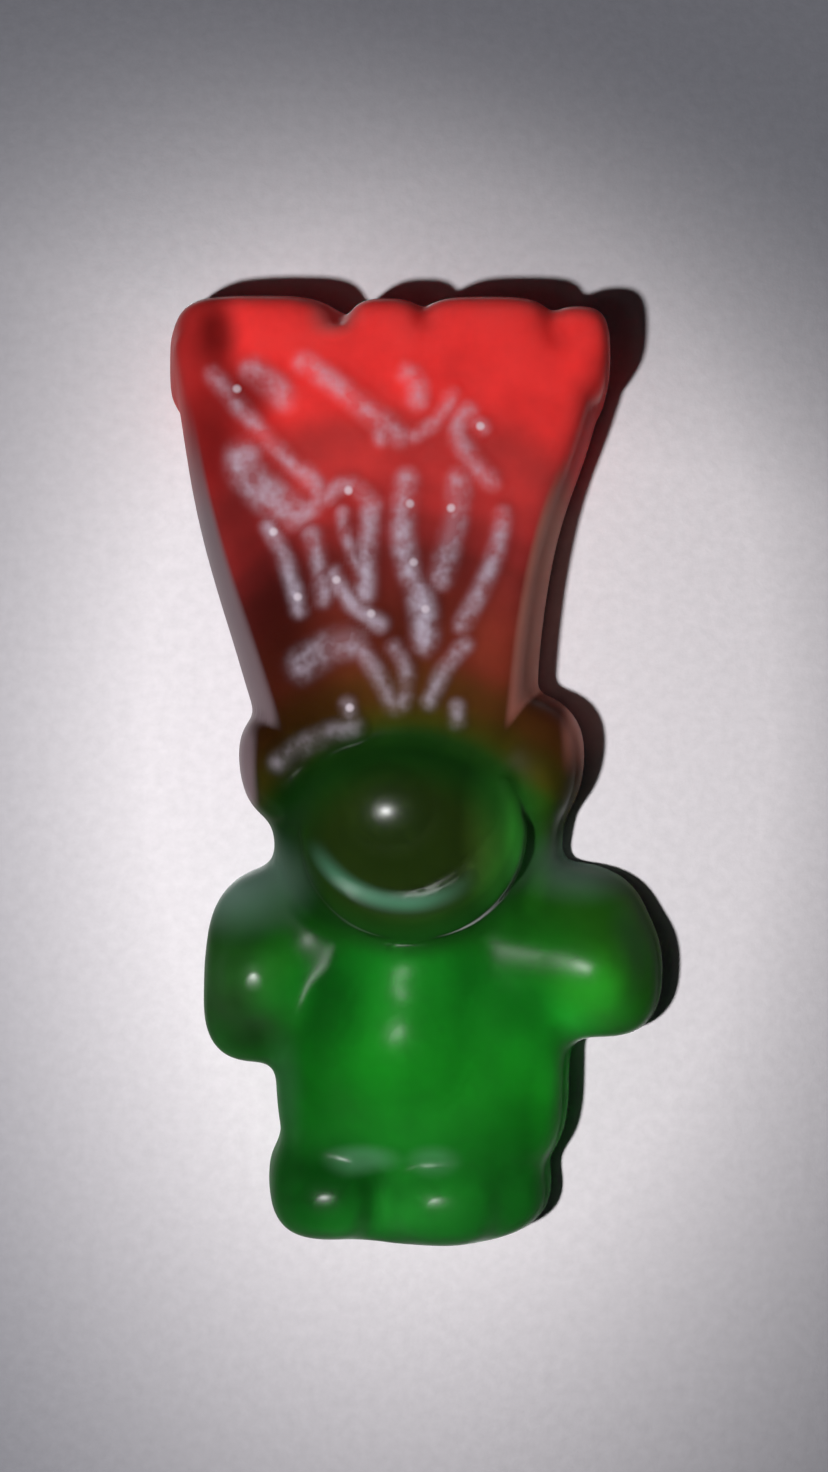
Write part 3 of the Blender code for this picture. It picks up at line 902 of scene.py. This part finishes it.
def gel_material(finish):
    """Jelly of two gels, clear enough to glow and a little matt from the starch mould."""
    material = bpy.data.materials.new("two_tone_gel")
    material.use_nodes = True
    tree = material.node_tree
    shader = tree.nodes["Principled BSDF"]
    spot = millimetres(tree)
    axes = add_node(tree, "SeparateXYZ", {0: spot}).outputs
    way = add_node(tree, "SeparateXYZ", {0: add_node(tree, "TexCoord").outputs["Normal"]}).outputs
    lock = add_node(tree, "Attribute", attribute_name="lock").outputs["Fac"]
    hairy = spread(tree, axes["Y"], *HAIR_START, smooth=True)
    steep = spread(tree, way["Z"], *STEEP, smooth=True)

    colour = gel_colour(tree, spot, axes)
    # Painted light and shade, a painted highlight on the chin, painted reflections, the locks' frost that is partly
    # a painted highlight, bubbles shown by painted glints, and painted reflection and glow on the walls
    colour = vectors(tree, "SCALE", {0: colour, "Scale": gel_cloud_and_painted_light(tree, spot, axes, hairy, steep)})
    colour = with_painted_chin_gleam(tree, spot, axes, colour)
    colour = tinted(tree, spot, colour, PAINTED_REFLECTIONS)
    colour = with_frost_and_highlight(tree, spot, axes, lock, colour)
    colour = with_bubble_glints(tree, spot, way["Z"], colour)
    colour = with_wall_reflections(tree, axes, way, hairy, colour)

    wet = finish.gloss
    for centre, radii, share in GLOSSY.values():
        wet = maths(tree, "MULTIPLY_ADD", oval(tree, spot, centre, radii, GLOSSY_SOFTNESS), share, wet)
    bare = maths(tree, "MULTIPLY", rest_of(tree, steep), rest_of(tree, hairy))
    matt = maths(tree, "MULTIPLY_ADD", lock, finish.lock_shine - finish.shine, finish.shine)
    grain = {
        "Height": noise(tree, spot, GRAIN_SCALE),
        "Strength": maths(tree, "MULTIPLY_ADD", lock, GRAIN_ON_LOCKS, GRAIN),
        "Distance": GRAIN_HEIGHT * MM,
    }

    tree.links.new(colour, shader.inputs["Base Color"])
    tree.links.new(matt, shader.inputs["Roughness"])
    tree.links.new(add_node(tree, "Bump", grain).outputs["Normal"], shader.inputs["Normal"])
    tree.links.new(maths(tree, "MULTIPLY", bare, finish.clearness), shader.inputs["Transmission Weight"])
    tree.links.new(maths(tree, "MULTIPLY", wet, bare), shader.inputs["Coat Weight"])
    shader.inputs["IOR"].default_value = JELLY_IOR
    shader.inputs["Specular IOR Level"].default_value = 0.0
    shader.inputs["Coat Roughness"].default_value = COAT_ROUGHNESS
    shader.inputs["Sheen Weight"].default_value = SHEEN
    shader.inputs["Sheen Roughness"].default_value = SHEEN_ROUGHNESS
    shader.inputs["Subsurface Weight"].default_value = 1.0
    shader.inputs["Subsurface Radius"].default_value = (1.0, 1.0, 1.0)
    shader.inputs["Subsurface Scale"].default_value = LIGHT_DEPTH * MM
    return material


class TROLL_OT_sweet(bpy.types.Operator):
    """Builds the jelly troll over its solid"""

    bl_idname = "troll.sweet"
    bl_label = "Build the sweet"

    def execute(self, context):
        sizes = context.scene.troll_sizes
        pieces = [bar(name, *values) for name, values in ARMS.items()]
        pieces += [mass(name, *values) for name, values in BODY_MASSES.items()]
        body = fused("body", pieces, BODY_VOXEL, BODY_SMOOTHING)
        lobes = [mass(name, *values) for name, values in HAIR_LOBES.items()]
        form = fused("form", [body, hair_block(sizes), *lobes], HAIR_VOXEL, HAIR_SMOOTHING)
        press_hollows(form)
        press_hairline(form)
        height = front_of(form)
        sweet = fused("jelly_troll", [form, chin_ridge(height), nose(height)], RELIEF_VOXEL, RELIEF_SMOOTHING)
        raise_locks(sweet, sizes)
        cut_back_flat(sweet)
        bring_to_size(sweet, sizes)
        sweet.data.shade_smooth()
        sweet.data.set_sharp_from_angle(angle=math.radians(50))
        sweet.data.materials.clear()
        sweet.data.materials.append(gel_material(context.scene.troll_finish))
        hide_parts("troll_gummy")
        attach(sweet, "root")
        return {"FINISHED"}


# The stage, in millimetres: half the paper's side, how far it lies under the sweet, and the camera
PAPER_HALF = 1500.0
PAPER_GAP = 0.03
CAMERA_PLACE = (-0.05, 1.8, 95.0)
VIEW_HEIGHT = 77.87
SENSOR = 36.0

# The lamp beside the camera: where its light and its glint in the skin come from, its width and how bright each is
LAMP_PLACE = (-30.0, -14.0, 95.0)
GLINT_PLACE = (-18.0, -5.0, 95.0)
LIGHT_WIDTH = 5.0
GLINT_WIDTH = 8.0
LAMP_GLOW = 1480.0
LAMP_GLINT = 400.0

# The painted pool of light on the paper: its middle, half its width and length and how bright its heart is
POOL = (2.3, 2.8, 41.0, 70.0, 1.56)

# Painted shade on the paper towards the tips of the hair: how much a step to the side counts, where this begins and
# ends, and what is kept
SHADE = (0.31, 20.0, 46.0, 0.08)

# The painted shade of the paper that the pool doesn't reach, and how sharply the pool gives way to it
DIM_PAPER = (0.235, 0.25, 0.275)
POOL_BLEND = 4.0

# Painted light: how bright the paper glows far from the lamp, as a share of how bright it is under it
FAR_PAPER = 0.5

# Brightness of the sky from the horizon to overhead, its tint, and the share of it that gives light
SKY_STOPS = (
    (0.0, 0.115),
    (0.07, 0.112),
    (0.16, 0.100),
    (0.30, 0.075),
    (1.0, 0.035),
)
SKY_TINT = (0.98, 1.0, 1.13)
SKY_LIGHT = 0.12


def paper_material(finish):
    """Matt paper with a fine tooth, a painted pool of light, painted shade round it, and a painted glow far from the
    lamp.
    """
    material = bpy.data.materials.new("paper")
    material.use_nodes = True
    tree = material.node_tree
    shader = tree.nodes["Principled BSDF"]
    spot = millimetres(tree)
    tooth = noise(tree, spot, 1.6, 3.0, 0.6)
    tint = spread(tree, tooth, 0.25, 0.75, 0.93, 1.03)
    grey = add_node(tree, "CombineColor", {0: tint, 1: tint, 2: tint}).outputs[0]
    colour = mixed(tree, 1.0, (*finish.paper, 1), grey, "MULTIPLY")
    # A painted pool of light on the paper, with painted shade towards the tips of the hair and outside the pool.
    x, y, half_width, half_length, heart = POOL
    off = from_middle(tree, spot, (x, y), (half_width, half_length))
    lit = maths(tree, "POWER", maths(tree, "MULTIPLY_ADD", off, off, 1.0), -3.0)
    lit = maths(tree, "MINIMUM", maths(tree, "MULTIPLY", lit, heart), 1.0)
    sideways, begin, end, least = SHADE
    axes = add_node(tree, "SeparateXYZ", {0: spot}).outputs
    upward = maths(tree, "MULTIPLY_ADD", axes["X"], sideways, axes["Y"])
    lit = maths(tree, "MULTIPLY", lit, spread(tree, upward, begin, end, 1.0, least))
    lit = maths(tree, "ADD", maths(tree, "POWER", lit, POOL_BLEND), DIM_PAPER[1] ** POOL_BLEND)
    lit = spread(tree, maths(tree, "POWER", lit, 1 / POOL_BLEND), DIM_PAPER[1], 1.0)
    colour = mixed(tree, 1.0, colour, mixed(tree, lit, (*DIM_PAPER, 1), (1, 1, 1, 1)), "MULTIPLY")
    bump = add_node(tree, "Bump", {"Height": tooth, "Strength": 0.3, "Distance": 0.1 * MM})
    # The far paper glows for the camera only, as painted light where the lamp doesn't reach.
    foot = vectors(tree, "DISTANCE", {0: spot, 1: (LAMP_PLACE[0], LAMP_PLACE[1], 0)}, "Value")
    slant = maths(tree, "DIVIDE", foot, LAMP_PLACE[2])
    reach = maths(tree, "POWER", maths(tree, "MULTIPLY_ADD", slant, slant, 1.0), -2.0)
    kept = maths(tree, "MAXIMUM", maths(tree, "SUBTRACT", FAR_PAPER, reach), 0.0)
    tree.links.new(colour, shader.inputs["Base Color"])
    tree.links.new(colour, shader.inputs["Emission Color"])
    seen = add_node(tree, "LightPath").outputs["Is Camera Ray"]
    tree.links.new(maths(tree, "MULTIPLY", kept, seen), shader.inputs["Emission Strength"])
    tree.links.new(bump.outputs["Normal"], shader.inputs["Normal"])
    shader.inputs["Roughness"].default_value = 0.85
    shader.inputs["Specular IOR Level"].default_value = 0.2
    return material


def paper(finish):
    bm = bmesh.new()
    bmesh.ops.create_grid(bm, x_segments=8, y_segments=8, size=PAPER_HALF * MM)
    sheet = mesh_object("paper", bm)
    sheet.location.z = SOLID_BOX[0].z - PAPER_GAP * MM
    sheet.data.materials.append(paper_material(finish))


def aim(obj, place, target):
    obj.location = place
    obj.rotation_mode = "QUATERNION"
    obj.rotation_quaternion = (Vector(target) - Vector(place)).to_track_quat("-Z", "Y")


def lamp(name, place, width, glow):
    light = bpy.data.lights.new(name, "AREA")
    light.shape = "DISK"
    light.size = width * MM
    light.energy = glow * (math.pi * light.size / 2) ** 2
    made = linked(name, light)
    aim(made, Vector(place) * MM, (0, 0, 0))
    return made


def lamps():
    """One lamp in two parts: what it lights, and the glint of it that the jelly shows."""
    lamp("light", LAMP_PLACE, LIGHT_WIDTH, LAMP_GLOW).visible_glossy = False
    lamp("glint", GLINT_PLACE, GLINT_WIDTH, LAMP_GLINT).visible_diffuse = False


def sky():
    """A soft sky, bright round the horizon and dim overhead."""
    world = bpy.data.worlds.new("sky")
    bpy.context.scene.world = world
    world.use_nodes = True
    tree = world.node_tree
    way = add_node(tree, "TexCoord").outputs["Generated"]
    up = add_node(tree, "SeparateXYZ", {0: way}).outputs["Z"]
    stops = [(at, [grey * share for share in SKY_TINT]) for at, grey in SKY_STOPS]
    colour = ramp(tree, up, stops, 0.0, 1.0)
    seen = add_node(tree, "LightPath").outputs["Is Camera Ray"]
    tree.links.new(colour, tree.nodes["Background"].inputs["Color"])
    tree.links.new(spread(tree, seen, 0.0, 1.0, SKY_LIGHT, 1.0), tree.nodes["Background"].inputs["Strength"])


def camera():
    data = bpy.data.cameras.new("camera")
    data.sensor_width = data.sensor_height = SENSOR
    data.lens = SENSOR * CAMERA_PLACE[2] / VIEW_HEIGHT
    data.clip_start = 1 * MM
    data.clip_end = 5.0
    made = linked("camera", data)
    made.location = Vector(CAMERA_PLACE) * MM
    bpy.context.scene.camera = made


class TROLL_OT_stage(bpy.types.Operator):
    """Lays the paper, hangs the lamps and sets the camera over the sweet"""

    bl_idname = "troll.stage"
    bl_label = "Set the stage"

    def execute(self, context):
        paper(context.scene.troll_finish)
        lamps()
        sky()
        camera()
        context.scene.view_settings.view_transform = "Standard"
        return {"FINISHED"}


class TROLL_PT_panel(bpy.types.Panel):
    """Sizes, finish and the two building steps"""

    bl_idname = "TROLL_PT_panel"
    bl_label = "Jelly troll"
    bl_space_type = "VIEW_3D"
    bl_region_type = "UI"
    bl_category = "Jelly troll"

    def draw(self, context):
        for group in (context.scene.troll_sizes, context.scene.troll_finish):
            for name in group.__annotations__:
                self.layout.prop(group, name)
        for operator in OPERATORS:
            self.layout.operator(operator.bl_idname)


OPERATORS = (TROLL_OT_sweet, TROLL_OT_stage)
CLASSES = (TrollSizes, TrollFinish, *OPERATORS, TROLL_PT_panel)


def register():
    for kind in CLASSES:
        bpy.utils.register_class(kind)
    bpy.types.Scene.troll_sizes = bpy.props.PointerProperty(type=TrollSizes)
    bpy.types.Scene.troll_finish = bpy.props.PointerProperty(type=TrollFinish)


def unregister():
    del bpy.types.Scene.troll_finish
    del bpy.types.Scene.troll_sizes
    for kind in reversed(CLASSES):
        bpy.utils.unregister_class(kind)


def main():
    register()
    bpy.ops.troll.sweet()
    bpy.ops.troll.stage()


if __name__ == "__main__":
    main()
